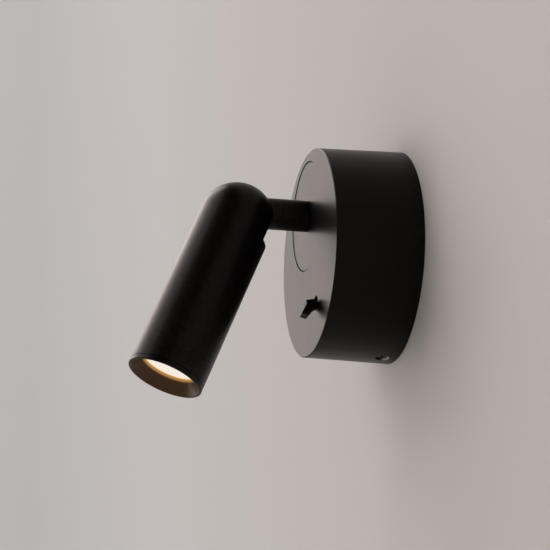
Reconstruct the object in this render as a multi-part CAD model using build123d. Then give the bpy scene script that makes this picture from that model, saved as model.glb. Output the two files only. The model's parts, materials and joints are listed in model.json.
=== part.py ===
# Pivoting spotlight wall light: a round canopy on the wall, a disc in its face that swivels with a
# short horizontal arm, and a domed tubular head that tilts on the arm's end.
#
# Frame, in millimetres: the wall is the plane y = 0 and the light stands out of it towards -Y.
# +Z is up and the origin is the centre of the canopy's back. The pose built here is the one in which
# the lamp was seen: head swung a little to one side and tilted out against its upper stop.
import os
from math import cos, radians, sin

from build123d import *

# ---- canopy
canopy_back_radius = 50.0
canopy_face_radius = 48.9
canopy_depth = 40.5
canopy_wall = 2.2
face_thickness = 4.0
canopy_edge = 0.4

# ---- swivel disc and arm
disc_margin = 3.2
arm_radius = 7.4
arm_reach = 31.9
arm_bore_radius = 5.0
arm_root_edge = 0.4
disc_radius = 25.9
disc_gap = 0.3
disc_thickness = 1.9
disc_recess = 0.25
disc_edge = 0.25
liner_thickness = 0.55
liner_radius = 17.0
hub_radius = 6.0
hub_bore_radius = 3.6
hub_end = 1.3
bush_wall = 2.0
bush_flange = 1.0
bush_flange_radius = 11.0
bush_liner_gap = 0.5
boss_radius = 14.0
boss_height = 4.0
thrust_washer_thickness = 1.0
wave_washer_thickness = 1.2
wave_count = 3
wave_depth = 0.35
wave_cut_radius = 12.0
wave_inset = 0.5
washer_radius = 10.0
hub_nut_flats = 18.0
hub_nut_thickness = 5.0
stop_track_radius = 21.0
stop_pin_radius = 1.25
stop_groove_depth = 0.9
stop_groove_gap = 0.4
stop_land_width = 4.0
stop_pin_gap = 0.3

# ---- pose
swivel_turn = 7.26
head_tilt = 66.46

# ---- head
head_radius = 17.7
head_wall = 1.8
head_straight = 85.9
dome_offset = 4.6
bezel_length = 2.1
seam_width = 0.3
seam_depth = 0.5
mouth_lip = 1.3
window_cover = 1.25
baffle_depth = 6.0
window_lip = 1.0
rim_edge = 0.3
sleeve_wall = 1.65
lens_thickness = 2.0
gasket_thickness = 0.5
reflector_flange = 1.1
reflector_wall = 0.8
reflector_depth = 15.0
reflector_inset = 0.3
sleeve_overlap = 0.4
led_window_radius = 5.4
holder_thickness = 3.1
holder_gap = 1.15
board_thickness = 1.6
board_inset = 1.0
holder_screw_inset = 2.2
board_lead_inset = 3.5
board_lead_hole_radius = 1.2
small_hole_radius = 1.3
holder_recess = (2.2, 1.2)
chip_side = 9.0
chip_thickness = 1.0
chip_corner = 0.8
chip_dome_radius = 3.8
chip_dome_height = 0.4
heat_sink_length = 31.0
heat_sink_foot = 4.0
heat_sink_way_radius = 2.6
heat_sink_trench = 2.4
holder_screw_grip = 5.0
screw_hole_spare = 1.0
fin_count = 14
fin_slot_width = 1.6
fin_slot_depth = 4.5
yoke_base_thickness = 3.0
yoke_gap = 2.9
yoke_ear_thickness = 2.5
yoke_ear_width = 11.0
yoke_way_radius = 3.0
yoke_screw_inset = 4.0
yoke_screw_grip = 7.0
housing_screw_offset = 8.0
housing_screw_recess = 0.5
housing_screw_socket = (1.5, 0.7)
slot_clearance = 0.4
slot_end = 12.5
slot_corner = 0.4
slot_flat_depth = 3.1
slot_shoulder = 2.5

# ---- tilt joint
tongue_thickness = 8.0
tongue_height = 12.0
tongue_length = 9.5
knuckle_spigot_length = 8.0
pivot_web = 1.6
pivot_radius = 2.5
friction_washer_thickness = 1.15
friction_washer_radius = 5.3
pivot_head_radius = 4.2
pivot_head_height = 2.0
pivot_head_edge = 0.4
pivot_socket_flats = 3.0
pivot_socket_depth = 1.4
pivot_end = 0.6
spring_washer_thickness = 0.8
spring_washer_radius = 4.5
spring_washer_split = 0.5
pivot_nut_flats = 8.0
pivot_nut_thickness = 3.5

# ---- toggle switch
switch_x = 5.8
switch_margin = 19.9
switch_hole_radius = 3.5
switch_skin = 1.6
switch_width = 9.0
switch_height = 13.0
switch_length = 10.0
switch_fit = 0.2
collar_thickness = 1.1
collar_wall = 0.5
lever_pivot_depth = 3.3
lever_barrel_radius = 2.2
lever_barrel_length = 4.4
lever_neck_radius = 1.8
lever_width = 4.4
lever_throw = 26.0
lever_block_start = 0.8
lever_block_end = 4.9
lever_block_half = 2.0
paddle_angle = 46.8
paddle_length = 5.7
paddle_tip = (2.7, 1.45)
paddle_root = 1.1
lever_nose = 0.2
lever_edge = 0.3
trunnion_radius = 0.9
trunnion_length = 1.1
lever_side_gap = 0.2
lever_room = 0.35
retainer_thickness = 1.2
retainer_width = 8.0
retainer_end = 3.5
retainer_corner = 2.0
retainer_window = 3.2
retainer_screw_spacing = 20.0
retainer_screw_depth = 5.0
terminal_blade = (0.8, 5.0, 2.6)
blade_hole_share = 0.25
terminal_pitch = 4.7

# ---- wall bracket and wiring
bracket_gap = 1.2
bracket_thickness = 2.0
bracket_foot = 3.0
tab_width = 12.0
tab_height = 13.0
tab_thickness = 2.0
wall_slot_spacing = 60.0
wall_slot_width = 4.5
wall_slot_length = 9.0
grub_offset_angle = -7.5
grub_count = 2
grub_from_wall = 7.2
grub_radius = 2.0
grub_length = 5.2
grub_hole_radius = 2.6
grub_hole_flare = 0.8
grub_recess = 1.0
grub_socket_flats = 2.0
grub_socket_depth = 2.3
grommet_hole_radius = 7.0
grommet_bore_radius = 4.0
grommet_flange_radius = 9.2
grommet_flange_thickness = 1.4
grommet_edge = 0.55
driver_size = (52.0, 17.0, 21.0)
driver_inset = 21.6
driver_pad_thickness = 0.8
driver_edge = 1.5
driver_pad_inset = 3.0
driver_lid = 1.6
driver_lid_groove = 0.4
terminal_size = (27.0, 12.0, 14.0)
terminal_inset = 20.6
terminal_count = 3
terminal_wire_radius = 1.8
terminal_well_radius = 2.2
terminal_wire_share = 0.4
terminal_notch = (1.0, 3.0)
terminal_screw_head_radius = 2.1
terminal_screw_sink = 1.0
earth_inset = 11.6
earth_z = 14.0
earth_tag_thickness = 1.0
earth_tag_rim = 0.6
earth_tag_width = 3.0
earth_tag_length = 10.0
lead_radius = 0.8
lead_bore_radius = 2.6
lead_entry = 2.0
switch_lead_bend = 2.4
led_lead_bend = 2.2
arm_lead_inset = 4.0
arm_lead_drop = 1.2
head_lead_inset = 6.5
head_lead_drop = 1.5

# ---- small screws and fits
running_clearance = 0.05
assembly_clearance = 0.05
washer_gap = 0.1
overrun = 1.0
m3_radius = 1.5
m3_head_radius = 2.8
m3_head_height = 1.8
m3_hole_radius = 1.6
retainer_screw_radius = 1.2
retainer_screw_head_radius = 2.5
holder_screw_radius = 1.2
holder_screw_head_radius = 2.1
holder_screw_head_height = 1.4
holder_screw_slot = 0.6
screw_slot = 0.8

# ---- derived places
arm_height = canopy_face_radius - disc_margin - disc_radius - disc_gap
switch_z = switch_margin - canopy_face_radius
bracket_radius = canopy_back_radius - canopy_wall - bracket_gap - tab_thickness
driver_z = driver_inset - bracket_radius
terminal_z = bracket_radius - terminal_inset
earth_x = earth_inset - bracket_radius
terminal_front_y = -bracket_thickness - terminal_size[1]
terminal_wire_y = -bracket_thickness - terminal_wire_share * terminal_size[1]
face_y = -canopy_depth
floor_y = face_y + disc_recess + disc_thickness + liner_thickness
boss_y = face_y + face_thickness + boss_height
disc_front_y = face_y + disc_recess
bush_flange_y = boss_y + bush_flange
thrust_y = bush_flange_y + thrust_washer_thickness
wave_y = thrust_y + wave_washer_thickness
hub_nut_y = wave_y + hub_nut_thickness
hub_end_y = hub_nut_y + hub_end
pivot_y = face_y - arm_reach
arm_end_y = pivot_y + tongue_length
bush_radius = hub_radius + bush_wall
rim_a = dome_offset + head_straight
housing_end_a = rim_a - bezel_length - seam_width
inner_radius = head_radius - head_wall
lens_front_a = rim_a - baffle_depth - window_lip
lens_back_a = lens_front_a - lens_thickness
gasket_back_a = lens_back_a - gasket_thickness
reflector_front_a = gasket_back_a
sleeve_back_a = reflector_front_a - reflector_flange - sleeve_overlap
reflector_back_a = reflector_front_a - reflector_depth
holder_back_a = reflector_back_a - holder_thickness
board_back_a = holder_back_a - board_thickness
sink_back_a = board_back_a - heat_sink_length
yoke_back_a = sink_back_a - yoke_base_thickness
housing_screw_a = sink_back_a + housing_screw_offset
sleeve_radius = inner_radius - assembly_clearance
seat_radius = sleeve_radius - sleeve_wall
lens_radius = seat_radius - assembly_clearance
window_radius = lens_radius - window_cover
holder_radius = lens_radius - holder_gap
board_radius = holder_radius - board_inset
yoke_base_radius = inner_radius - yoke_gap
slot_flat = head_radius - slot_flat_depth
ear_inner_x = tongue_thickness / 2 + running_clearance + friction_washer_thickness
ear_outer_x = ear_inner_x + yoke_ear_thickness
driver_back_y = -bracket_thickness - driver_pad_thickness
lever_pivot_y = face_y + lever_pivot_depth
switch_front_y = face_y + switch_skin
switch_back_y = switch_front_y + switch_length
retainer_y = switch_back_y + retainer_thickness
tab_outer = bracket_radius + tab_thickness


def canopy_radius_at(y):
    # outer radius of the drafted canopy wall at depth y
    return canopy_back_radius + (canopy_back_radius - canopy_face_radius) * y / canopy_depth


def bar(radius, y_from, y_to, x=0.0, z=0.0):
    # round bar along Y
    low, high = sorted((y_from, y_to))
    base = Cylinder(radius, high - low, align=(Align.CENTER, Align.CENTER, Align.MIN))
    return Pos(x, high, z) * Rot(X=90) * base


def ring(outer, inner, y_from, y_to, x=0.0, z=0.0):
    low, high = sorted((y_from, y_to))
    return bar(outer, low, high, x, z) - bar(inner, low - overrun, high + overrun, x, z)


def cross_bar(radius, x_from, x_to, y=0.0, z=0.0):
    # round bar along X
    low, high = sorted((x_from, x_to))
    base = Cylinder(radius, high - low, align=(Align.CENTER, Align.CENTER, Align.MIN))
    return Pos(low, y, z) * Rot(Y=90) * base


def block(x_range, y_range, z_range):
    size = [high - low for low, high in (x_range, y_range, z_range)]
    centre = [(high + low) / 2 for low, high in (x_range, y_range, z_range)]
    return Pos(*centre) * Box(*size)


def turned(points, x=0.0, z=0.0):
    # solid of revolution about a line along Y, from (y, radius) points
    outline = Polyline(*[(radius, y) for y, radius in points], close=True)
    return Pos(x, 0, z) * revolve(make_face(outline), Axis.Y)


def turned_head(points):
    # the same for the head, from (distance from the pivot towards the mouth, radius) points
    return turned([(-along, radius) for along, radius in points])


def hexagon(flats, y_from, y_to, x=0.0, z=0.0):
    low, high = sorted((y_from, y_to))
    outline = RegularPolygon(flats / 2, 6, major_radius=False)
    return Pos(x, high, z) * Rot(X=90) * extrude(outline, high - low)


def set_in_pose(shape):
    # swing a piece built with the arm at home about the arm's axis
    axis = Axis((0, 0, arm_height), (0, 1, 0))
    return shape.rotate(axis, swivel_turn)


def set_on_head(shape):
    # a piece of the head is built along -Y from the pivot, then tilted and swung with the arm
    tilted = shape.rotate(Axis.X, head_tilt)
    return set_in_pose(Pos(0, pivot_y, arm_height) * tilted)


def group(shapes):
    return Compound(list(shapes))


def pan_screw(shank_radius, shank_length, top_radius, head_height, slot_width=screw_slot):
    # head towards +Z, its underside at z = 0, with a straight slot
    shank = Cylinder(shank_radius, shank_length, align=(Align.CENTER, Align.CENTER, Align.MAX))
    head = Cylinder(top_radius, head_height, align=(Align.CENTER, Align.CENTER, Align.MIN))
    head = chamfer(head.edges().group_by(Axis.Z)[-1], head_height / 3)
    slot = Pos(0, 0, head_height) * Box(3 * top_radius, slot_width, head_height)
    return shank + (head - slot)


def lead(points, bend):
    # insulated lead along straight runs joined by arcs
    path = FilletPolyline(*points, radius=bend)
    profile = Plane(origin=path @ 0, z_dir=path % 0) * Circle(lead_radius)
    return sweep(profile, path)


# ---------------------------------------------------------------- base: everything fixed to the wall
def make_canopy():
    wall_inner_face = canopy_radius_at(face_y + face_thickness) - canopy_wall
    cup = turned([
        (face_y, 0),
        (face_y, canopy_face_radius - canopy_edge),
        (face_y + canopy_edge, canopy_radius_at(face_y + canopy_edge)),
        (0, canopy_back_radius),
        (0, canopy_back_radius - canopy_wall),
        (face_y + face_thickness, wall_inner_face),
        (face_y + face_thickness, 0),
    ])
    cup += bar(boss_radius, face_y + face_thickness, boss_y, z=arm_height)
    seat = bar(disc_radius + disc_gap, face_y - overrun, floor_y, z=arm_height)
    bore = bar(bush_radius, face_y - overrun, boss_y + overrun, z=arm_height)
    groove_half = stop_pin_radius + stop_groove_gap
    groove = ring(stop_track_radius + groove_half, stop_track_radius - groove_half,
                  floor_y - overrun, floor_y + stop_groove_depth, z=arm_height)
    land = block((-stop_land_width / 2, stop_land_width / 2), (floor_y - 2 * overrun, boss_y),
                 (arm_height - disc_radius, arm_height))
    cup = cup - seat - bore - (groove - land)
    for side in (-1, 1):
        cup += bar(m3_head_radius, face_y + face_thickness, switch_back_y,
                   switch_x, switch_z + side * retainer_screw_spacing / 2)
    half_x = switch_width / 2 + switch_fit
    half_z = switch_height / 2 + switch_fit
    cup -= block((switch_x - half_x, switch_x + half_x), (switch_front_y, switch_back_y + overrun),
                 (switch_z - half_z, switch_z + half_z))
    cup -= bar(switch_hole_radius, face_y - overrun, switch_front_y + overrun, switch_x, switch_z)
    for side in (-1, 1):
        cup -= bar(retainer_screw_radius, switch_back_y - retainer_screw_depth, switch_back_y + overrun,
                   switch_x, switch_z + side * retainer_screw_spacing / 2)
    cup -= group(grub_cut(grub_hole_radius, bracket_radius, canopy_back_radius + overrun))
    return cup - group(grub_flares())


def grub_turns():
    return [Rot(Y=-grub_offset_angle - index * 360 / grub_count) for index in range(grub_count)]


def grub_cut(radius, r_from, r_to):
    # round bars along the radii of the grub screws
    upright = Cylinder(radius, r_to - r_from, align=(Align.CENTER, Align.CENTER, Align.MAX))
    return [turn * Pos(0, -grub_from_wall, -r_from) * upright for turn in grub_turns()]


def grub_flares():
    # countersinks in the canopy's side, over the grub screws
    narrow_r = canopy_radius_at(-grub_from_wall) - grub_hole_flare
    depth = grub_hole_flare + overrun
    flare = Cone(grub_hole_radius + depth, grub_hole_radius, depth,
                 align=(Align.CENTER, Align.CENTER, Align.MAX))
    return [turn * Pos(0, -grub_from_wall, -narrow_r) * flare for turn in grub_turns()]


def make_grub_screws():
    r_out = canopy_radius_at(-grub_from_wall) - grub_recess
    screw = Cylinder(grub_radius - running_clearance, grub_length,
                     align=(Align.CENTER, Align.CENTER, Align.MIN))
    screw -= extrude(RegularPolygon(grub_socket_flats / 2, 6, major_radius=False), grub_socket_depth)
    return group(turn * Pos(0, -grub_from_wall, -r_out) * screw for turn in grub_turns())


def make_wall_bracket():
    plate = bar(bracket_radius, -bracket_thickness, 0)
    for turn in grub_turns():
        tab = block((-tab_width / 2, tab_width / 2), (-tab_height, 0), (-tab_outer, -bracket_radius))
        foot = block((-tab_width / 2, tab_width / 2), (-bracket_thickness, 0),
                     (-bracket_radius, -bracket_radius + bracket_foot))
        plate += turn * (tab + foot)
    plate -= group(grub_cut(grub_radius, bracket_radius - overrun, tab_outer + overrun))
    plate -= bar(grommet_hole_radius, -bracket_thickness - overrun, overrun)
    for side in (-1, 1):
        slot = SlotOverall(wall_slot_length, wall_slot_width)
        cutter = extrude(slot, bracket_thickness + 2 * overrun)
        plate -= Pos(side * wall_slot_spacing / 2, overrun, 0) * Rot(X=90) * cutter
    return plate - bar(m3_radius, -bracket_thickness - overrun, overrun, earth_x, earth_z)


def make_cable_grommet():
    body = bar(grommet_hole_radius - assembly_clearance, -bracket_thickness, 0)
    flange_y = -bracket_thickness - grommet_flange_thickness
    flange = bar(grommet_flange_radius, flange_y, -bracket_thickness)
    flange = chamfer(flange.edges().group_by(Axis.Y)[0], grommet_edge)
    return body + flange - bar(grommet_bore_radius, flange_y - overrun, overrun)


def make_driver_pad():
    half_x = driver_size[0] / 2 - driver_pad_inset
    half_z = driver_size[2] / 2 - driver_pad_inset
    return block((-half_x, half_x), (driver_back_y, -bracket_thickness),
                 (driver_z - half_z, driver_z + half_z))


def make_led_driver():
    half_x = driver_size[0] / 2
    half_z = driver_size[2] / 2
    case = block((-half_x, half_x), (driver_back_y - driver_size[1], driver_back_y),
                 (driver_z - half_z, driver_z + half_z))
    case = fillet(case.edges().filter_by(Axis.Y), driver_edge)
    lid_y = driver_back_y - driver_size[1]
    groove_y = (lid_y + driver_lid, lid_y + driver_lid + driver_lid_groove)
    outside_x, outside_z = half_x + overrun, half_z + overrun
    inside_x, inside_z = half_x - driver_lid_groove, half_z - driver_lid_groove
    groove = block((-outside_x, outside_x), groove_y, (driver_z - outside_z, driver_z + outside_z))
    groove -= block((-inside_x, inside_x), groove_y, (driver_z - inside_z, driver_z + inside_z))
    return case - groove


def terminal_places():
    pitch = terminal_size[0] / terminal_count
    return [(index - (terminal_count - 1) / 2) * pitch for index in range(terminal_count)]


def make_terminal_block():
    half_z = terminal_size[2] / 2
    body = block((-terminal_size[0] / 2, terminal_size[0] / 2), (terminal_front_y, -bracket_thickness),
                 (terminal_z - half_z, terminal_z + half_z))
    for x in terminal_places():
        body -= Pos(x, terminal_wire_y, terminal_z) * Cylinder(terminal_wire_radius, 2 * terminal_size[2])
        body -= bar(terminal_well_radius, terminal_front_y - overrun, terminal_wire_y, x, terminal_z)
    notch_width, notch_depth = terminal_notch
    for x in terminal_places()[:-1]:
        notch_x = x + terminal_size[0] / terminal_count / 2
        body -= block((notch_x - notch_width / 2, notch_x + notch_width / 2),
                      (terminal_front_y - overrun, terminal_front_y + notch_depth),
                      (terminal_z - half_z - overrun, terminal_z + half_z + overrun))
    return body


def make_terminal_screws():
    seat_y = terminal_front_y + terminal_screw_sink + m3_head_height
    screw = pan_screw(m3_radius, terminal_wire_y - seat_y, terminal_screw_head_radius, m3_head_height)
    return group(Pos(x, seat_y, terminal_z) * Rot(X=90) * screw for x in terminal_places())


def make_earth_screw():
    screw = pan_screw(m3_radius - running_clearance, bracket_thickness + earth_tag_thickness - washer_gap,
                      m3_head_radius, m3_head_height)
    return Pos(earth_x, -bracket_thickness - earth_tag_thickness, earth_z) * Rot(X=90) * screw


def make_earth_tag():
    y_range = (-bracket_thickness - earth_tag_thickness, -bracket_thickness)
    eye = ring(m3_head_radius + earth_tag_rim, m3_radius, *y_range, earth_x, earth_z)
    half = earth_tag_width / 2
    tail = block((earth_x - half, earth_x + half), y_range,
                 (earth_z + m3_head_radius, earth_z + earth_tag_length))
    return eye + tail


def make_swivel_bush():
    tube = ring(bush_radius - assembly_clearance, hub_radius + running_clearance, floor_y, boss_y,
                z=arm_height)
    flange = ring(bush_flange_radius, hub_radius + running_clearance, boss_y, bush_flange_y,
                  z=arm_height)
    return tube + flange


def make_swivel_liner():
    return ring(liner_radius, bush_radius + bush_liner_gap, floor_y - liner_thickness, floor_y, z=arm_height)


def make_switch_body():
    body = block((switch_x - switch_width / 2, switch_x + switch_width / 2),
                 (switch_front_y, switch_back_y),
                 (switch_z - switch_height / 2, switch_z + switch_height / 2))
    half_length = lever_barrel_length / 2 + lever_side_gap
    barrel_room = lever_barrel_radius + lever_room
    body -= cross_bar(barrel_room, switch_x - half_length, switch_x + half_length,
                      lever_pivot_y, switch_z)
    body -= block((switch_x - half_length, switch_x + half_length),
                  (switch_front_y - overrun, lever_pivot_y),
                  (switch_z - barrel_room, switch_z + barrel_room))
    hole_half = lever_barrel_length / 2 + trunnion_length + lever_side_gap
    body -= cross_bar(trunnion_radius + running_clearance, switch_x - hole_half,
                      switch_x + hole_half, lever_pivot_y, switch_z)
    return body


def make_switch_collar():
    outer = switch_hole_radius - assembly_clearance
    return ring(outer, outer - collar_wall, switch_front_y - collar_thickness, switch_front_y,
                switch_x, switch_z)


def make_switch_terminals():
    width, length, height = terminal_blade
    blades = []
    for step in (-1, 0, 1):
        z = switch_z + step * terminal_pitch
        blade = block((switch_x - width / 2, switch_x + width / 2),
                      (switch_back_y, switch_back_y + length), (z - height / 2, z + height / 2))
        hole = cross_bar(height * blade_hole_share, switch_x - width, switch_x + width,
                         switch_back_y + length - height / 2, z)
        blades.append(blade - hole)
    return group(blades)


def make_switch_retainer():
    half_x = retainer_width / 2
    half_z = retainer_screw_spacing / 2 + retainer_end
    plate = block((switch_x - half_x, switch_x + half_x), (switch_back_y, retainer_y),
                  (switch_z - half_z, switch_z + half_z))
    plate = fillet(plate.edges().filter_by(Axis.Y), retainer_corner)
    window_x = retainer_window / 2
    window_z = terminal_pitch + terminal_blade[2]
    plate -= block((switch_x - window_x, switch_x + window_x),
                   (switch_back_y - overrun, retainer_y + overrun),
                   (switch_z - window_z, switch_z + window_z))
    for side in (-1, 1):
        plate -= bar(m3_hole_radius, switch_back_y - overrun, retainer_y + overrun,
                     switch_x, switch_z + side * retainer_screw_spacing / 2)
    return plate


def make_retainer_screws():
    screw = pan_screw(retainer_screw_radius, retainer_thickness + retainer_screw_depth,
                      retainer_screw_head_radius, m3_head_height)
    return group(
        Pos(switch_x, retainer_y, switch_z + side * retainer_screw_spacing / 2) * Rot(X=-90) * screw
        for side in (-1, 1)
    )


def make_switch_leads():
    # from the outer switch blades round the driver's end and up to the terminal block
    blade_end_y = switch_back_y + terminal_blade[1]
    leads = []
    for side, x in ((-1, terminal_places()[-1]), (1, terminal_places()[-2])):
        start_x = switch_x + terminal_blade[0] / 2 + lead_radius
        start_y = blade_end_y - terminal_blade[2] / 2
        start_z = switch_z + side * terminal_pitch
        far_x = 31.0 - 3.0 * side
        leads.append(lead([
            (start_x, start_y, start_z),
            (start_x + 6.0, start_y, start_z),
            (far_x, start_y + 2.0, start_z + 12.0),
            (far_x, -14.0, 2.0),
            (x + 4.0, terminal_wire_y, 8.0),
            (x, terminal_wire_y, terminal_z - terminal_size[2] / 2 + lead_entry),
        ], switch_lead_bend))
    return group(leads)


def make_led_leads():
    # from the driver's end up to the mouth of the hub
    driver_end = -driver_size[0] / 2
    leads = []
    for side in (-1, 1):
        y = driver_back_y - driver_size[1] / 2 + 3.0 * side
        leads.append(lead([
            (driver_end, y, driver_z),
            (driver_end - 5.0, y, driver_z),
            (driver_end - 5.0 + side, y, 2.0),
            (-12.0, hub_end_y + 5.0, 12.0 + 2.0 * side),
            (side, hub_end_y + 4.0, arm_height + side),
            (side, hub_end_y - lead_entry, arm_height + side),
        ], led_lead_bend))
    return group(leads)


# ---------------------------------------------------------------- swivel: disc and arm
def make_swivel_disc():
    plate = bar(disc_radius, disc_front_y, disc_front_y + disc_thickness, z=arm_height)
    plate = chamfer(plate.edges().group_by(Axis.Y)[0], disc_edge)
    plate -= bar(hub_radius + assembly_clearance, disc_front_y - overrun, floor_y, z=arm_height)
    pin_room = bar(stop_pin_radius, disc_front_y + disc_thickness / 2, floor_y,
                   z=arm_height + stop_track_radius)
    return set_in_pose(plate - pin_room)


def make_stop_pin():
    pin = bar(stop_pin_radius - assembly_clearance, disc_front_y + disc_thickness / 2,
              floor_y + stop_groove_depth - stop_pin_gap, z=arm_height + stop_track_radius)
    return set_in_pose(pin)


def make_arm_tube():
    tube = bar(arm_radius, arm_end_y, disc_front_y, z=arm_height)
    tube = chamfer(tube.edges().group_by(Axis.Y)[-1], arm_root_edge)
    tube += bar(hub_radius, disc_front_y, hub_end_y, z=arm_height)
    tube -= bar(hub_bore_radius, arm_end_y - overrun, hub_end_y + overrun, z=arm_height)
    tube -= bar(arm_bore_radius, arm_end_y - overrun, arm_end_y + knuckle_spigot_length, z=arm_height)
    return set_in_pose(tube)


def make_arm_knuckle():
    spigot = bar(arm_bore_radius - assembly_clearance, arm_end_y,
                 arm_end_y + knuckle_spigot_length, z=arm_height)
    half = tongue_height / 2
    side = tongue_thickness / 2
    tongue = block((-side, side), (pivot_y, arm_end_y), (arm_height - half, arm_height + half))
    tongue += cross_bar(half, -side, side, pivot_y, arm_height)
    knuckle = spigot + tongue
    knuckle -= cross_bar(pivot_radius + running_clearance, -tongue_thickness, tongue_thickness,
                         pivot_y, arm_height)
    way_y = pivot_y + pivot_radius + pivot_web
    knuckle -= bar(lead_bore_radius, way_y, arm_end_y + 2 * knuckle_spigot_length, z=arm_height)
    knuckle -= block((-lead_bore_radius, lead_bore_radius), (way_y, way_y + 2 * lead_bore_radius),
                     (arm_height - tongue_height, arm_height))
    return set_in_pose(knuckle)


def make_thrust_washer():
    return set_in_pose(ring(washer_radius, hub_radius + washer_gap, bush_flange_y, thrust_y, z=arm_height))


def make_wave_washer():
    # three waves, as shallow hollows that alternate between its two faces
    washer = ring(washer_radius - wave_inset, hub_radius + washer_gap, thrust_y, wave_y, z=arm_height)
    hollow = Cylinder(wave_cut_radius, washer_radius, align=(Align.CENTER, Align.CENTER, Align.MIN))
    for index in range(2 * wave_count):
        if index % 2:
            y = wave_y + wave_cut_radius - wave_depth
        else:
            y = thrust_y - wave_cut_radius + wave_depth
        washer -= Pos(0, y, arm_height) * Rot(Y=index * 180 / wave_count) * hollow
    return set_in_pose(washer)


def make_swivel_nut():
    nut = hexagon(hub_nut_flats, wave_y, hub_nut_y, z=arm_height)
    nut -= bar(hub_radius + assembly_clearance, wave_y - overrun, hub_nut_y + overrun, z=arm_height)
    return set_in_pose(nut)


def make_arm_leads():
    tip_y = pivot_y + pivot_radius + pivot_web + lead_radius
    leads = [bar(lead_radius, tip_y, hub_end_y - arm_lead_inset, x=side * (lead_radius + washer_gap),
                 z=arm_height - arm_lead_drop) for side in (-1, 1)]
    return set_in_pose(group(leads))


# ---------------------------------------------------------------- head, built along -Y from its pivot
def slot_cutter():
    # room for the arm: a round seat that fits it at the upper stop, and a square-ended slot of the
    # same width below it, along which the arm travels as the head tilts down
    reach = 3 * head_radius
    half_width = arm_radius + slot_clearance
    seat = bar(half_width, 0, reach).rotate(Axis.X, -head_tilt)
    way_y = cos(radians(head_tilt))
    way_z = -sin(radians(head_tilt))
    arm_way = (reach * way_y, reach * way_z)
    outline = [(0, 0), (-slot_end, 0), (-slot_end, -reach), (0, -reach), arm_way]
    side_face = make_face(Polyline(*[(0, y, z) for y, z in outline], close=True))
    slot = extrude(side_face, half_width, dir=(1, 0, 0), both=True)
    corners = slot.edges().filter_by(Axis.Z).group_by(Axis.Y)[0]
    slot = fillet(corners, slot_corner)
    # a flat across the wall beside the slot, from a shoulder just under the arm to the slot's end
    flat_start = (slot_flat * way_y / -way_z + slot_shoulder / way_z, -slot_flat)
    flat_way = (flat_start[0] + reach * way_y, flat_start[1] + reach * way_z)
    outline = [flat_start, (-slot_end, -slot_flat), (-slot_end, -reach), (0, -reach), flat_way]
    side_face = make_face(Polyline(*[(0, y, z) for y, z in outline], close=True))
    return seat + slot + extrude(side_face, head_radius, dir=(1, 0, 0), both=True)


def make_head_housing():
    dome_outer = RadiusArc((0, head_radius - dome_offset), (head_radius, -dome_offset), head_radius)
    dome_inner = RadiusArc((0, inner_radius - dome_offset), (inner_radius, -dome_offset), inner_radius)
    sides = [
        Line((head_radius, -dome_offset), (head_radius, -housing_end_a)),
        Line((head_radius, -housing_end_a), (inner_radius, -housing_end_a)),
        Line((inner_radius, -housing_end_a), (inner_radius, -dome_offset)),
        Line((0, inner_radius - dome_offset), (0, head_radius - dome_offset)),
    ]
    shell = revolve(make_face([dome_outer, *sides, dome_inner]), Axis.Y) - slot_cutter()
    way = Cylinder(m3_radius, 2 * head_radius, align=(Align.CENTER, Align.CENTER, Align.MAX))
    return set_on_head(shell - Pos(0, -housing_screw_a, 0) * way)


def make_front_bezel():
    neck_radius = head_radius - seam_depth
    mouth_radius = head_radius - mouth_lip
    window_front_a = rim_a - baffle_depth
    bezel = turned_head([
        (sleeve_back_a, seat_radius),
        (sleeve_back_a, sleeve_radius),
        (housing_end_a, sleeve_radius),
        (housing_end_a, neck_radius),
        (housing_end_a + seam_width, neck_radius),
        (housing_end_a + seam_width, head_radius),
        (rim_a - rim_edge, head_radius),
        (rim_a, head_radius - rim_edge),
        (rim_a, mouth_radius + rim_edge),
        (rim_a - rim_edge, mouth_radius),
        (window_front_a, window_radius),
        (lens_front_a, window_radius),
        (lens_front_a, seat_radius),
    ])
    return set_on_head(bezel)


def make_lens():
    return set_on_head(bar(lens_radius, -lens_front_a, -lens_back_a))


def make_lens_gasket():
    return set_on_head(ring(lens_radius, window_radius, -lens_back_a, -gasket_back_a))


def make_reflector():
    front = window_radius - reflector_inset
    back = led_window_radius
    flange_back_a = reflector_front_a - reflector_flange
    slope = (front - back) / reflector_depth
    at_flange = front + reflector_wall - slope * reflector_flange
    cup = turned_head([
        (reflector_front_a, front),
        (reflector_front_a, lens_radius),
        (flange_back_a, lens_radius),
        (flange_back_a, at_flange),
        (reflector_back_a, back + reflector_wall),
        (reflector_back_a, back),
    ])
    return set_on_head(cup)


def holder_screw_places():
    return [side * (board_radius - holder_screw_inset) for side in (-1, 1)]


def board_lead_places():
    return [side * (board_radius - board_lead_inset) for side in (-1, 1)]


def make_led_holder():
    holder = ring(holder_radius, led_window_radius, -reflector_back_a, -holder_back_a)
    for z in holder_screw_places():
        holder -= bar(small_hole_radius, -reflector_back_a - overrun, -holder_back_a + overrun, z=z)
    recess_width, recess_depth = holder_recess
    recess = bar(led_window_radius + recess_width, -holder_back_a - recess_depth, -holder_back_a)
    return set_on_head(holder - recess)


def make_holder_screws():
    screw = pan_screw(holder_screw_radius, holder_thickness + board_thickness + holder_screw_grip,
                      holder_screw_head_radius, holder_screw_head_height, holder_screw_slot)
    return set_on_head(group(
        Pos(0, -reflector_back_a, z) * Rot(X=90) * screw for z in holder_screw_places()))


def make_led_board():
    board = bar(board_radius, -holder_back_a, -board_back_a)
    for z in holder_screw_places():
        board -= bar(small_hole_radius, -holder_back_a - overrun, -board_back_a + overrun, z=z)
    for x in board_lead_places():
        board -= bar(board_lead_hole_radius, -holder_back_a - overrun, -board_back_a + overrun, x=x)
    return set_on_head(board)


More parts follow.
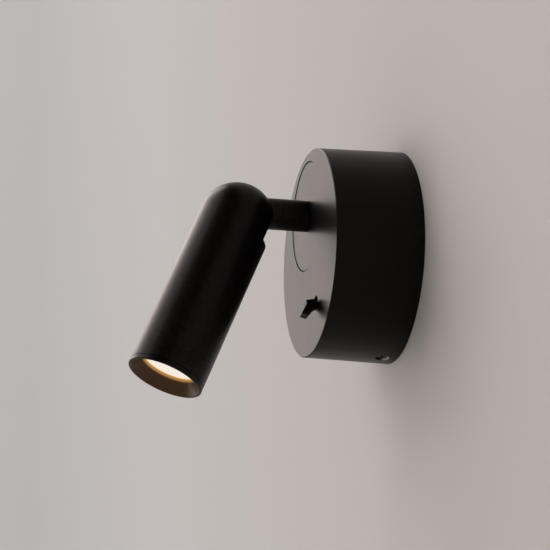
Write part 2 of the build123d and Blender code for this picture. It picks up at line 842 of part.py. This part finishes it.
def make_led_chip():
    half = chip_side / 2
    front_a = holder_back_a + chip_thickness
    base = block((-half, half), (-front_a, -holder_back_a), (-half, half))
    base = fillet(base.edges().filter_by(Axis.Y), chip_corner)
    return set_on_head(base)


def make_led_phosphor():
    front_a = holder_back_a + chip_thickness
    return set_on_head(bar(chip_dome_radius, -front_a - chip_dome_height, -front_a))


def make_heat_sink():
    sink = bar(sleeve_radius, -board_back_a, -sink_back_a)
    foot_a = board_back_a - heat_sink_foot
    for index in range(fin_count):
        slot = block((-fin_slot_width / 2, fin_slot_width / 2), (-foot_a, -sink_back_a + overrun),
                     (sleeve_radius - fin_slot_depth, sleeve_radius + overrun))
        sink -= Rot(Y=(index + 0.5) * 360 / fin_count) * slot
    sink -= bar(heat_sink_way_radius, -board_back_a - overrun, -sink_back_a + overrun)
    for z in holder_screw_places():
        sink -= bar(small_hole_radius, -board_back_a - overrun,
                    -board_back_a + holder_screw_grip + screw_hole_spare, z=z)
    for z in yoke_screw_places():
        sink -= bar(m3_radius, -sink_back_a - yoke_screw_grip - screw_hole_spare,
                    -sink_back_a + overrun, z=z)
    # a trench for the leads, from the board's two lead holes to the way down the middle
    for x in board_lead_places():
        sink -= bar(board_lead_hole_radius, -board_back_a - overrun, -board_back_a + heat_sink_trench, x=x)
        sink -= block(sorted((0, x)), (-board_back_a - overrun, -board_back_a + heat_sink_trench),
                      (-board_lead_hole_radius, board_lead_hole_radius))
    return set_on_head(sink)


def yoke_screw_places():
    return [side * (yoke_base_radius - yoke_screw_inset) for side in (-1, 1)]


def make_head_yoke():
    base = bar(yoke_base_radius, -sink_back_a, -yoke_back_a)
    half = yoke_ear_width / 2
    yoke = base
    for side in (-1, 1):
        x_range = sorted((side * ear_inner_x, side * ear_outer_x))
        yoke += block(x_range, (-yoke_back_a, 0), (-half, half))
        yoke += cross_bar(half, x_range[0], x_range[1])
    yoke -= cross_bar(pivot_radius + assembly_clearance, -2 * ear_outer_x, 2 * ear_outer_x)
    yoke -= bar(yoke_way_radius, -sink_back_a - overrun, -yoke_back_a + overrun)
    for z in yoke_screw_places():
        yoke -= bar(m3_hole_radius, -sink_back_a - overrun, -yoke_back_a + overrun, z=z)
    return set_on_head(yoke)


def make_yoke_screws():
    screw = pan_screw(m3_radius - running_clearance, yoke_base_thickness + yoke_screw_grip,
                      m3_head_radius, m3_head_height)
    return set_on_head(group(
        Pos(0, -yoke_back_a, z) * Rot(X=-90) * screw for z in yoke_screw_places()))


def make_pivot_screw():
    nut_end = ear_outer_x + spring_washer_thickness + pivot_nut_thickness + pivot_end
    screw = cross_bar(pivot_radius, -ear_outer_x, nut_end)
    head = cross_bar(pivot_head_radius, -ear_outer_x - pivot_head_height, -ear_outer_x)
    head = chamfer(head.edges().group_by(Axis.X)[0], pivot_head_edge)
    hexagon_face = RegularPolygon(pivot_socket_flats / 2, 6, major_radius=False)
    socket = Rot(Y=90) * extrude(hexagon_face, pivot_socket_depth)
    return set_on_head(screw + head - Pos(-ear_outer_x - pivot_head_height, 0, 0) * socket)


def make_friction_washers():
    inner_x = tongue_thickness / 2 + running_clearance
    washers = []
    for side in (-1, 1):
        washer = cross_bar(friction_washer_radius, side * inner_x, side * ear_inner_x)
        washers.append(washer - cross_bar(pivot_radius + washer_gap, -head_radius, head_radius))
    return set_on_head(group(washers))


def make_spring_washer():
    washer = cross_bar(spring_washer_radius, ear_outer_x, ear_outer_x + spring_washer_thickness)
    washer -= cross_bar(pivot_radius + washer_gap, -head_radius, head_radius)
    split = block((0, head_radius), (-spring_washer_split / 2, spring_washer_split / 2), (0, head_radius))
    return set_on_head(washer - split)


def make_pivot_nut():
    start = ear_outer_x + spring_washer_thickness
    outline = RegularPolygon(pivot_nut_flats / 2, 6, major_radius=False)
    nut = Pos(start, 0, 0) * Rot(Y=90) * extrude(outline, pivot_nut_thickness)
    return set_on_head(nut - cross_bar(pivot_radius + assembly_clearance, -head_radius, head_radius))


def make_housing_screw():
    flats, depth = housing_screw_socket
    body = Cylinder(m3_radius - assembly_clearance, head_wall - housing_screw_recess,
                    align=(Align.CENTER, Align.CENTER, Align.MIN))
    body -= extrude(RegularPolygon(flats / 2, 6, major_radius=False), depth)
    return set_on_head(Pos(0, -housing_screw_a, housing_screw_recess - head_radius) * body)


def make_head_leads():
    start_a = tongue_height / 2 + head_lead_inset
    end_a = board_back_a - heat_sink_trench
    leads = [bar(lead_radius, -end_a, -start_a, x=side * (lead_radius + washer_gap), z=-head_lead_drop)
             for side in (-1, 1)]
    return set_on_head(group(leads))


# ---------------------------------------------------------------- switch lever
def make_switch_lever():
    # built pointing straight out of the face, then tipped down by half its throw
    start = lever_pivot_depth + lever_block_start
    end = lever_pivot_depth + lever_block_end
    half = lever_block_half
    tip_out = end + paddle_length * cos(radians(paddle_angle))
    tip_down = lever_nose - paddle_length * sin(radians(paddle_angle))
    tip_back, tip_drop = paddle_tip
    outline = [
        (-start, half),
        (-end, half),
        (-end - lever_nose, lever_nose),
        (-tip_out, tip_down),
        (tip_back - tip_out, tip_down - tip_drop),
        (-start - paddle_root, -half - lever_nose),
        (-start, -half),
    ]
    side_face = make_face(Polyline(*[(0, y, z) for y, z in outline], close=True))
    handle = extrude(side_face, lever_width / 2, dir=(1, 0, 0), both=True)
    handle = fillet(handle.edges().filter_by(Axis.X), lever_edge)
    lever = handle + bar(lever_neck_radius, -start - lever_edge, 0)
    half_length = lever_barrel_length / 2
    lever += cross_bar(lever_barrel_radius, -half_length, half_length)
    lever += cross_bar(trunnion_radius, -half_length - trunnion_length, half_length + trunnion_length)
    tipped = lever.rotate(Axis.X, lever_throw / 2)
    return Pos(switch_x, lever_pivot_y, switch_z) * tipped


PIECES = {
    "canopy": make_canopy,
    "grub_screws": make_grub_screws,
    "wall_bracket": make_wall_bracket,
    "cable_grommet": make_cable_grommet,
    "driver_pad": make_driver_pad,
    "led_driver": make_led_driver,
    "terminal_block": make_terminal_block,
    "terminal_screws": make_terminal_screws,
    "earth_screw": make_earth_screw,
    "earth_tag": make_earth_tag,
    "swivel_bush": make_swivel_bush,
    "swivel_liner": make_swivel_liner,
    "switch_body": make_switch_body,
    "switch_collar": make_switch_collar,
    "switch_terminals": make_switch_terminals,
    "switch_retainer": make_switch_retainer,
    "retainer_screws": make_retainer_screws,
    "switch_leads": make_switch_leads,
    "led_leads": make_led_leads,
    "swivel_disc": make_swivel_disc,
    "stop_pin": make_stop_pin,
    "arm_tube": make_arm_tube,
    "arm_knuckle": make_arm_knuckle,
    "thrust_washer": make_thrust_washer,
    "wave_washer": make_wave_washer,
    "swivel_nut": make_swivel_nut,
    "arm_leads": make_arm_leads,
    "head_housing": make_head_housing,
    "front_bezel": make_front_bezel,
    "lens": make_lens,
    "lens_gasket": make_lens_gasket,
    "reflector": make_reflector,
    "led_holder": make_led_holder,
    "holder_screws": make_holder_screws,
    "led_board": make_led_board,
    "led_chip": make_led_chip,
    "led_phosphor": make_led_phosphor,
    "heat_sink": make_heat_sink,
    "head_yoke": make_head_yoke,
    "yoke_screws": make_yoke_screws,
    "pivot_screw": make_pivot_screw,
    "friction_washers": make_friction_washers,
    "spring_washer": make_spring_washer,
    "pivot_nut": make_pivot_nut,
    "housing_screw": make_housing_screw,
    "head_leads": make_head_leads,
    "switch_lever": make_switch_lever,
}

os.makedirs("parts", exist_ok=True)
for name, make in PIECES.items():
    export_step(make(), f"parts/{name}.step")
print(len(PIECES), "pieces written")
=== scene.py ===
import json
from math import cos, radians, sin

import bmesh
import bpy
from mathutils import Matrix, Vector


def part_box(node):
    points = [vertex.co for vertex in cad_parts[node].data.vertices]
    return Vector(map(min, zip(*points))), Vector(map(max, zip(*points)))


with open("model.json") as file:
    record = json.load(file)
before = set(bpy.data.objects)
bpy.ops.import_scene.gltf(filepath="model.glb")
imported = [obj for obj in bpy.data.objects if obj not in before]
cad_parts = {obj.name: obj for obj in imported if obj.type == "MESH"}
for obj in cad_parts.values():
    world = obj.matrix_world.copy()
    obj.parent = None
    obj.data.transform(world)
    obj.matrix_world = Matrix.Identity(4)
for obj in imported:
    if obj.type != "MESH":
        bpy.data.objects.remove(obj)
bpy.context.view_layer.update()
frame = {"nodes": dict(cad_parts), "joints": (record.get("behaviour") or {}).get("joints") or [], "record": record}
print("frame loaded:", len(frame["nodes"]), "nodes")

mm = 0.001

cameraSpec = {
    "place": (712.7, -247.7, -393.8),  # mm, below the light and to its right, close to the wall
    "azimuth": 75.0525,
    "elevation": -27.3185,
    "roll": -3.488,
    "lens": 117.82,
    "sensor": 36.0,
    "nearest": 0.01,  # m
    "farthest": 50.0,
}


def makeCamera(spec):
    data = bpy.data.cameras.new("camera")
    data.lens = spec["lens"]
    data.sensor_width = spec["sensor"]
    data.clip_start = spec["nearest"]
    data.clip_end = spec["farthest"]
    camera = bpy.data.objects.new("camera", data)
    bpy.context.scene.collection.objects.link(camera)
    azimuth, elevation = radians(spec["azimuth"]), radians(spec["elevation"])
    back = Vector((sin(azimuth) * cos(elevation), -cos(azimuth) * cos(elevation), sin(elevation)))
    level = Vector((cos(azimuth), sin(azimuth), 0))
    upright = back.cross(level)
    roll = radians(spec["roll"])
    right = level * cos(roll) + upright * sin(roll)
    up = back.cross(right)
    camera.matrix_world = (
        Matrix.Translation(Vector(spec["place"]) * mm) @ Matrix((right, up, back)).transposed().to_4x4()
    )
    bpy.context.scene.camera = camera


makeCamera(cameraSpec)
print("camera placed")


def newMaterial(name):
    material = bpy.data.materials.new(name)
    material.use_nodes = True
    tree = material.node_tree
    tree.nodes.clear()
    output = tree.nodes.new("ShaderNodeOutputMaterial")
    shader = tree.nodes.new("ShaderNodeBsdfPrincipled")
    tree.links.new(shader.outputs["BSDF"], output.inputs["Surface"])
    return material, tree, shader


def place(tree, kind, **values):
    # a node, with each value given to its socket or else to its own setting
    node = tree.nodes.new(kind)
    for key, value in values.items():
        if key in node.inputs:
            node.inputs[key].default_value = value
        else:
            setattr(node, key, value)
    return node


def objectCoords(tree):
    return tree.nodes.new("ShaderNodeTexCoord").outputs["Object"]


def objectAxis(tree, axis):
    apart = tree.nodes.new("ShaderNodeSeparateXYZ")
    tree.links.new(objectCoords(tree), apart.inputs[0])
    return apart.outputs[axis]


def noise(tree, **values):
    node = place(tree, "ShaderNodeTexNoise", **values)
    tree.links.new(objectCoords(tree), node.inputs["Vector"])
    return node


def remap(tree, value, span, unit=1.0, **settings):
    # 0 where the span begins and 1 where it ends, held beyond them
    node = place(tree, "ShaderNodeMapRange", **settings)
    node.inputs["From Min"].default_value = span[0] * unit
    node.inputs["From Max"].default_value = span[1] * unit
    tree.links.new(value, node.inputs["Value"])
    return node.outputs["Result"]


def multiply(tree, first, second, **settings):
    node = place(tree, "ShaderNodeMath", operation="MULTIPLY", **settings)
    tree.links.new(first, node.inputs[0])
    tree.links.new(second, node.inputs[1])
    return node.outputs[0]


def blend(tree, factor, first, second):
    # first at 0 and second at 1, each a plain colour or an output
    node = place(tree, "ShaderNodeMix", data_type="RGBA")
    tree.links.new(factor, node.inputs[0])
    for socket, color in zip((node.inputs[6], node.inputs[7]), (first, second)):
        if isinstance(color, tuple):
            socket.default_value = (*color, 1)
        else:
            tree.links.new(color, socket)
    return node.outputs[2]


def addBump(tree, shader, height, strength, depth):
    bump = place(tree, "ShaderNodeBump", Strength=strength, Distance=depth * mm)
    tree.links.new(height, bump.inputs["Height"])
    tree.links.new(bump.outputs["Normal"], shader.inputs["Normal"])


def newGroup(name, inputs, outputs):
    tree = bpy.data.node_groups.new(name, "ShaderNodeTree")
    for label, kind, value in inputs:
        socket = tree.interface.new_socket(name=label, in_out="INPUT", socket_type=kind)
        socket.default_value = value
    for label, kind in outputs:
        tree.interface.new_socket(name=label, in_out="OUTPUT", socket_type=kind)
    return tree, tree.nodes.new("NodeGroupInput"), tree.nodes.new("NodeGroupOutput")


finishGroupSpec = {
    "grain": {"Detail": 3.0, "Roughness": 0.6},
    "blotch": {"Scale": 70.0, "Detail": 4.0, "Roughness": 0.55},
    "blotchSpan": (0.3, 0.7),
}


def makeFinishGroup(spec):
    # fine bumps of a sprayed or blasted finish, with faint blotches in colour and gloss
    tree, inlet, outlet = newGroup(
        "fineFinish",
        [
            ("Color", "NodeSocketColor", (0.02, 0.02, 0.02, 1)),
            ("Roughness", "NodeSocketFloat", 0.4),
            ("Grain Scale", "NodeSocketFloat", 2500.0),
            ("Variation", "NodeSocketFloat", 0.1),
        ],
        [("Color", "NodeSocketColor"), ("Roughness", "NodeSocketFloat"), ("Height", "NodeSocketFloat")],
    )
    grain = noise(tree, **spec["grain"])
    tree.links.new(inlet.outputs["Grain Scale"], grain.inputs["Scale"])
    blotch = noise(tree, **spec["blotch"])
    spread = remap(tree, blotch.outputs["Fac"], spec["blotchSpan"], **{"To Min": -1.0})
    factor = place(tree, "ShaderNodeMath", operation="ADD")
    factor.inputs[1].default_value = 1.0
    tree.links.new(multiply(tree, spread, inlet.outputs["Variation"]), factor.inputs[0])
    tint = place(tree, "ShaderNodeVectorMath", operation="SCALE")
    tree.links.new(inlet.outputs["Color"], tint.inputs[0])
    tree.links.new(factor.outputs[0], tint.inputs["Scale"])
    gloss = multiply(tree, inlet.outputs["Roughness"], factor.outputs[0], use_clamp=True)
    tree.links.new(tint.outputs[0], outlet.inputs["Color"])
    tree.links.new(gloss, outlet.inputs["Roughness"])
    tree.links.new(grain.outputs["Fac"], outlet.inputs["Height"])
    return tree


wearGroupSpec = {
    "edgeSpan": (0.52, 0.62),  # of pointiness, which is 0.5 on a flat face
    "breaks": {"Scale": 420.0, "Detail": 4.0, "Roughness": 0.7},
    "breakSpan": (0.42, 0.66),
}


def makeWearGroup(spec):
    # rub marks in a second colour where an edge is sharp
    tree, inlet, outlet = newGroup(
        "edgeWear",
        [
            ("Color", "NodeSocketColor", (0.02, 0.02, 0.02, 1)),
            ("Worn Color", "NodeSocketColor", (0.1, 0.1, 0.1, 1)),
            ("Strength", "NodeSocketFloat", 0.3),
        ],
        [("Color", "NodeSocketColor")],
    )
    geometry = tree.nodes.new("ShaderNodeNewGeometry")
    edge = remap(tree, geometry.outputs["Pointiness"], spec["edgeSpan"])
    broken = remap(tree, noise(tree, **spec["breaks"]).outputs["Fac"], spec["breakSpan"])
    mask = multiply(tree, multiply(tree, edge, broken), inlet.outputs["Strength"])
    worn = blend(tree, mask, inlet.outputs["Color"], inlet.outputs["Worn Color"])
    tree.links.new(worn, outlet.inputs["Color"])
    return tree


def makeAxisGroup():
    # distance from a line through a centre, and distance along it from there, both in metres
    tree, inlet, outlet = newGroup(
        "axisPlace",
        [("Centre", "NodeSocketVector", (0, 0, 0)), ("Direction", "NodeSocketVector", (0, 0, 1))],
        [("Radius", "NodeSocketFloat"), ("Along", "NodeSocketFloat")],
    )
    offset = place(tree, "ShaderNodeVectorMath", operation="SUBTRACT")
    tree.links.new(objectCoords(tree), offset.inputs[0])
    tree.links.new(inlet.outputs["Centre"], offset.inputs[1])
    away = place(tree, "ShaderNodeVectorMath", operation="CROSS_PRODUCT")
    along = place(tree, "ShaderNodeVectorMath", operation="DOT_PRODUCT")
    for product in (away, along):
        tree.links.new(offset.outputs[0], product.inputs[0])
        tree.links.new(inlet.outputs["Direction"], product.inputs[1])
    radius = place(tree, "ShaderNodeVectorMath", operation="LENGTH")
    tree.links.new(away.outputs[0], radius.inputs[0])
    tree.links.new(radius.outputs["Value"], outlet.inputs["Radius"])
    tree.links.new(along.outputs["Value"], outlet.inputs["Along"])
    return tree


fineFinish = makeFinishGroup(finishGroupSpec)
edgeWear = makeWearGroup(wearGroupSpec)
axisPlace = makeAxisGroup()


def middleOf(name):
    lowest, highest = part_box(name)
    return (lowest + highest) / 2


# the holder lies on the head's axis, in front of the pivot
headPivot = next(Vector(joint["pos_m"]) for joint in frame["joints"] if joint["name"] == "head_tilt")
headAxis = (middleOf("led_holder") - headPivot).normalized()


def baffleColorAndPaintedGlow(tree, color, spec, shader):
    # inside the mouth the trim is a lighter warm brown instead of black, partly a different finish and partly
    # painted warm light from the lens, with a painted glow of lens light on its root
    spot = place(tree, "ShaderNodeGroup", node_tree=axisPlace, Centre=headPivot, Direction=headAxis)
    inside = remap(tree, spot.outputs["Radius"], spec["baffleEdge"], mm)
    near = remap(tree, spot.outputs["Along"], spec["paintedGlowSpan"], mm, interpolation_type="SMOOTHSTEP")
    # the trim's root near the lens is made to glow: painted light from the lens, not a lamp
    tree.links.new(blend(tree, near, (0, 0, 0), spec["paintedGlow"]), shader.inputs["Emission Color"])
    shader.inputs["Emission Strength"].default_value = 1.0
    return blend(tree, inside, color, spec["baffle"])


def paintedGlintColor(tree, color, spec):
    # a lighter patch painted on the wall-side half of the countersinks of the two side holes: a painted glint
    turn = radians(spec["glintTurn"])
    spot = place(
        tree, "ShaderNodeGroup", node_tree=axisPlace,
        Centre=(0, spec["glintDepth"] * mm, 0), Direction=(sin(turn), 0, cos(turn)),
    )
    beyond = remap(tree, spot.outputs["Radius"], spec["glintInside"], mm)
    within = remap(tree, spot.outputs["Radius"], spec["glintOutside"], mm)
    wallSide = remap(tree, objectAxis(tree, "Y"), spec["glintSide"], mm)
    mask = multiply(tree, multiply(tree, beyond, within), wallSide)
    return blend(tree, mask, color, spec["paintedGlint"])


def finishedMaterial(name, spec):
    # one sprayed, moulded, plated or turned surface, from the numbers in its dictionary
    material, tree, shader = newMaterial(name)
    finish = place(tree, "ShaderNodeGroup", node_tree=fineFinish)
    finish.inputs["Color"].default_value = (*spec["color"], 1)
    finish.inputs["Roughness"].default_value = spec["roughness"]
    finish.inputs["Grain Scale"].default_value = spec["grain"]
    finish.inputs["Variation"].default_value = spec["variation"]
    color = finish.outputs["Color"]
    if "worn" in spec:
        wear = place(tree, "ShaderNodeGroup", node_tree=edgeWear)
        wear.inputs["Worn Color"].default_value = (*spec["worn"], 1)
        wear.inputs["Strength"].default_value = spec["wear"]
        tree.links.new(color, wear.inputs["Color"])
        color = wear.outputs["Color"]
    # inside the mouth: a warm tint that is partly painted lens light, and a painted glow
    if "baffle" in spec:
        color = baffleColorAndPaintedGlow(tree, color, spec, shader)
    # a painted glint on the wall side of the side holes' countersinks
    if "paintedGlint" in spec:
        color = paintedGlintColor(tree, color, spec)
    tree.links.new(color, shader.inputs["Base Color"])
    tree.links.new(finish.outputs["Roughness"], shader.inputs["Roughness"])
    addBump(tree, shader, finish.outputs["Height"], spec["bump"], spec["depth"])
    shader.inputs["Metallic"].default_value = spec.get("metallic", 0.0)
    shader.inputs["Specular IOR Level"].default_value = spec.get("specular", 0.5)
    return material


# grain is in cells to the metre; depths, radii and the places of marks are in mm
finishes = {
    "shell_black": {
        "color": (0.0024, 0.0016, 0.0014), "roughness": 0.33, "grain": 2600.0, "variation": 0.03,
        "bump": 0.25, "depth": 0.012, "worn": (0.03, 0.028, 0.026), "wear": 0.3, "specular": 0.13,
        # a painted glint: a lighter patch on the wall-side rim of the side holes' countersinks
        "paintedGlint": (0.4, 0.38, 0.35), "glintDepth": -7.2, "glintTurn": 7.5,
        "glintInside": (2.62, 2.7), "glintOutside": (3.5, 3.4), "glintSide": (-7.0, -5.6),
    },
    "trim_black": {
        "color": (0.002, 0.0015, 0.0013), "roughness": 0.32, "grain": 3000.0, "variation": 0.03,
        "bump": 0.2, "depth": 0.012, "worn": (0.04, 0.036, 0.033), "wear": 0.4, "specular": 0.14,
        # the mouth's warm brown is partly painted lens light; the glow is painted light from the lens on the
        # trim's root
        "baffle": (0.075, 0.042, 0.02), "baffleEdge": (16.7, 16.6),
        "paintedGlow": (0.42, 0.21, 0.06), "paintedGlowSpan": (85.4, 84.0),
    },
    "plastic_black": {
        "color": (0.003, 0.0027, 0.0026), "roughness": 0.4, "grain": 4200.0, "variation": 0.06,
        "bump": 0.3, "depth": 0.015, "specular": 0.2,
    },
    "steel_zinc": {
        "color": (0.55, 0.55, 0.53), "roughness": 0.34, "grain": 900.0, "variation": 0.16,
        "bump": 0.15, "depth": 0.02, "metallic": 1.0, "worn": (0.75, 0.75, 0.73), "wear": 0.4,
    },
    "steel_dark": {
        "color": (0.11, 0.11, 0.115), "roughness": 0.36, "grain": 1800.0, "variation": 0.15,
        "bump": 0.2, "depth": 0.01, "metallic": 1.0, "worn": (0.35, 0.35, 0.35), "wear": 0.5,
    },
    "aluminium_raw": {
        "color": (0.66, 0.67, 0.68), "roughness": 0.3, "grain": 1400.0, "variation": 0.12,
        "bump": 0.15, "depth": 0.012, "metallic": 1.0,
    },
    "brass_plain": {
        "color": (0.72, 0.5, 0.2), "roughness": 0.27, "grain": 1500.0, "variation": 0.12,
        "bump": 0.12, "depth": 0.01, "metallic": 1.0,
    },
    "nylon_natural": {
        "color": (0.72, 0.68, 0.58), "roughness": 0.48, "grain": 1200.0, "variation": 0.05,
        "bump": 0.15, "depth": 0.02,
    },
    "plastic_white": {
        "color": (0.72, 0.72, 0.69), "roughness": 0.42, "grain": 1600.0, "variation": 0.04,
        "bump": 0.2, "depth": 0.02,
    },
    "foam_grey": {
        "color": (0.16, 0.16, 0.165), "roughness": 0.9, "grain": 1100.0, "variation": 0.2,
        "bump": 0.9, "depth": 0.15,
    },
    "rubber_black": {
        "color": (0.016, 0.016, 0.016), "roughness": 0.62, "grain": 1500.0, "variation": 0.1,
        "bump": 0.3, "depth": 0.03,
    },
    "reflector_metal": {
        "color": (0.86, 0.86, 0.85), "roughness": 0.1, "grain": 600.0, "variation": 0.1,
        "bump": 0.1, "depth": 0.02, "metallic": 1.0,
    },
    "board_white": {
        "color": (0.78, 0.78, 0.75), "roughness": 0.3, "grain": 900.0, "variation": 0.04,
        "bump": 0.1, "depth": 0.01,
    },
    "chip_ceramic": {
        "color": (0.8, 0.78, 0.7), "roughness": 0.45, "grain": 1800.0, "variation": 0.05,
        "bump": 0.15, "depth": 0.01,
    },
    "lead_red": {
        "color": (0.42, 0.02, 0.015), "roughness": 0.36, "grain": 700.0, "variation": 0.08,
        "bump": 0.1, "depth": 0.02,
    },
    "lead_brown": {
        "color": (0.14, 0.055, 0.025), "roughness": 0.36, "grain": 700.0, "variation": 0.08,
        "bump": 0.1, "depth": 0.02,
    },
}
materials = {slot: finishedMaterial(slot, spec) for slot, spec in finishes.items()}


def glowMaterial(name, spec):
    # lit from behind: hottest in the middle, warmer towards the rim
    material, tree, shader = newMaterial(name)
    spot = place(tree, "ShaderNodeGroup", node_tree=axisPlace, Centre=headPivot, Direction=headAxis)
    outward = remap(tree, spot.outputs["Radius"], spec["rimSpan"], mm, interpolation_type="SMOOTHSTEP")
    tree.links.new(blend(tree, outward, spec["middle"], spec["rim"]), shader.inputs["Emission Color"])
    shader.inputs["Emission Strength"].default_value = spec["strength"]
    shader.inputs["Base Color"].default_value = (*spec["body"], 1)
    shader.inputs["Roughness"].default_value = spec["roughness"]
    addBump(tree, shader, noise(tree, **spec["grain"]).outputs["Fac"], spec["bump"], spec["depth"])
    return material


glows = {
    "lens_clear": {
        "rimSpan": (11.2, 13.6), "middle": (0.88, 0.8, 0.72), "rim": (0.95, 0.52, 0.16), "strength": 1.0,
        "body": (0.08, 0.07, 0.06), "roughness": 0.35,
        "grain": {"Scale": 3500.0, "Detail": 2.0}, "bump": 0.3, "depth": 0.01,
    },
    "phosphor": {
        "rimSpan": (1.0, 4.0), "middle": (1.0, 0.9, 0.7), "rim": (1.0, 0.75, 0.3), "strength": 1.0,
        "body": (0.5, 0.38, 0.12), "roughness": 0.5,
        "grain": {"Scale": 3500.0, "Detail": 2.0}, "bump": 0.3, "depth": 0.01,
    },
}
materials.update({slot: glowMaterial(slot, spec) for slot, spec in glows.items()})
print("materials made:", len(materials))


def dressNodes():
    slots = {entry["node"]: entry["material_slot"] for entry in frame["record"]["subparts"]}
    for name, node in frame["nodes"].items():
        node.data.materials.clear()
        node.data.materials.append(materials[slots[name]])


dressNodes()
print("nodes dressed")


stageSpec = {"halfWidth": 40.0, "wallTop": 30.0, "wallBack": 0.00002, "base": -1.6}  # metres


def plainSheet(name, corners):
    mesh = bpy.data.meshes.new(name)
    sheet = bmesh.new()
    sheet.faces.new([sheet.verts.new(corner) for corner in corners])
    sheet.to_mesh(mesh)
    sheet.free()
    thing = bpy.data.objects.new(name, mesh)
    bpy.context.scene.collection.objects.link(thing)
    return thing


wallPaint = {
    # the wall's tone and brightness drift from right to left: painted light and shade in place of uneven light on
    # the wall
    "colors": [(0.585, 0.594, 0.598), (0.625, 0.67, 0.69), (0.53, 0.583, 0.604)],
    "driftSpan": (0.05, -1.5),  # metres, from right to left
    "driftMiddle": 0.4,  # the second colour's place along the drift
    "roughness": 0.85, "specular": 0.2,
    "speckle": {"Scale": 900.0, "Detail": 4.0}, "bump": 0.15, "depth": 0.03,  # mm
}


def makeWallPaint(spec):
    material, tree, shader = newMaterial("wallPaint")
    # painted light and shade: the wall's colour drifts from right to left
    ramp = tree.nodes.new("ShaderNodeValToRGB")
    stops = ramp.color_ramp.elements
    stops.new(spec["driftMiddle"])
    for stop, color in zip(stops, spec["colors"]):
        stop.color = (*color, 1)
    tree.links.new(remap(tree, objectAxis(tree, "X"), spec["driftSpan"]), ramp.inputs["Fac"])
    tree.links.new(ramp.outputs["Color"], shader.inputs["Base Color"])
    shader.inputs["Roughness"].default_value = spec["roughness"]
    shader.inputs["Specular IOR Level"].default_value = spec["specular"]
    addBump(tree, shader, noise(tree, **spec["speckle"]).outputs["Fac"], spec["bump"], spec["depth"])
    # a view from behind and every shadow ray pass through, so lamps behind it reach the light's back
    geometry = tree.nodes.new("ShaderNodeNewGeometry")
    ray = tree.nodes.new("ShaderNodeLightPath")
    through = place(tree, "ShaderNodeMath", operation="MAXIMUM")
    tree.links.new(geometry.outputs["Backfacing"], through.inputs[0])
    tree.links.new(ray.outputs["Is Shadow Ray"], through.inputs[1])
    clear = tree.nodes.new("ShaderNodeBsdfTransparent")
    choose = tree.nodes.new("ShaderNodeMixShader")
    tree.links.new(through.outputs[0], choose.inputs[0])
    tree.links.new(shader.outputs["BSDF"], choose.inputs[1])
    tree.links.new(clear.outputs["BSDF"], choose.inputs[2])
    tree.links.new(choose.outputs["Shader"], tree.nodes["Material Output"].inputs["Surface"])
    return material


def makeWall(spec):
    half, back, base, top = spec["halfWidth"], spec["wallBack"], spec["base"], spec["wallTop"]
    corners = [(-half, back, base), (half, back, base), (half, back, top), (-half, back, top)]
    plainSheet("wall", corners).data.materials.append(makeWallPaint(wallPaint))


floorPaint = {"color": (0.5, 0.48, 0.45), "roughness": 0.8}


def makeFloorPaint(spec):
    material, tree, shader = newMaterial("floorPaint")
    shader.inputs["Base Color"].default_value = (*spec["color"], 1)
    shader.inputs["Roughness"].default_value = spec["roughness"]
    return material


def makeFloor(spec):
    half, base = spec["halfWidth"], spec["base"]
    corners = [(-half, -half, base), (half, -half, base), (half, half, base), (-half, half, base)]
    plainSheet("floor", corners).data.materials.append(makeFloorPaint(floorPaint))


makeWall(stageSpec)
makeFloor(stageSpec)
print("stage made")


# soft far lights; each lies towards "from" and is as wide as "spread", in degrees
lampSpecs = {
    "rimLeft": {"from": (-0.84, -0.28, 0.46), "spread": 35, "power": 0.55},
    "highLeft": {"from": (-0.7, -0.2, 0.68), "spread": 20, "power": 0.18},
    "overheadLeft": {"from": (-0.45, -0.35, 0.82), "spread": 35, "power": 1.2},
    "overheadFront": {"from": (0, -0.7, 0.7), "spread": 40, "power": 0.68},
    "frontLeft": {"from": (-0.6, -0.8, 0.1), "spread": 40, "power": 1.03},
    "frontRight": {"from": (0.6, -0.75, 0.25), "spread": 40, "power": 0.17},
    "behind": {"from": (0.1, 1, 0.25), "spread": 15, "power": 0.5},
}
lampColor = (1.0, 0.885, 0.845)
worldColor = (0.02, 0.0196, 0.0192)


def makeLamp(name, spec):
    data = bpy.data.lights.new(name, "SUN")
    data.angle = radians(spec["spread"])
    data.energy = spec["power"]
    data.color = lampColor
    lamp = bpy.data.objects.new(name, data)
    bpy.context.scene.collection.objects.link(lamp)
    lamp.rotation_euler = (-Vector(spec["from"])).to_track_quat("-Z", "Y").to_euler()


def makeWorld(color):
    # a faint even glow on the light
    world = bpy.data.worlds.new("studio")
    bpy.context.scene.world = world
    world.use_nodes = True
    background = world.node_tree.nodes["Background"]
    background.inputs["Color"].default_value = (*color, 1)
    background.inputs["Strength"].default_value = 1.0


for lampName, lampSpec in lampSpecs.items():
    makeLamp(lampName, lampSpec)
makeWorld(worldColor)
bpy.context.scene.view_settings.view_transform = "Standard"
print("lights placed")
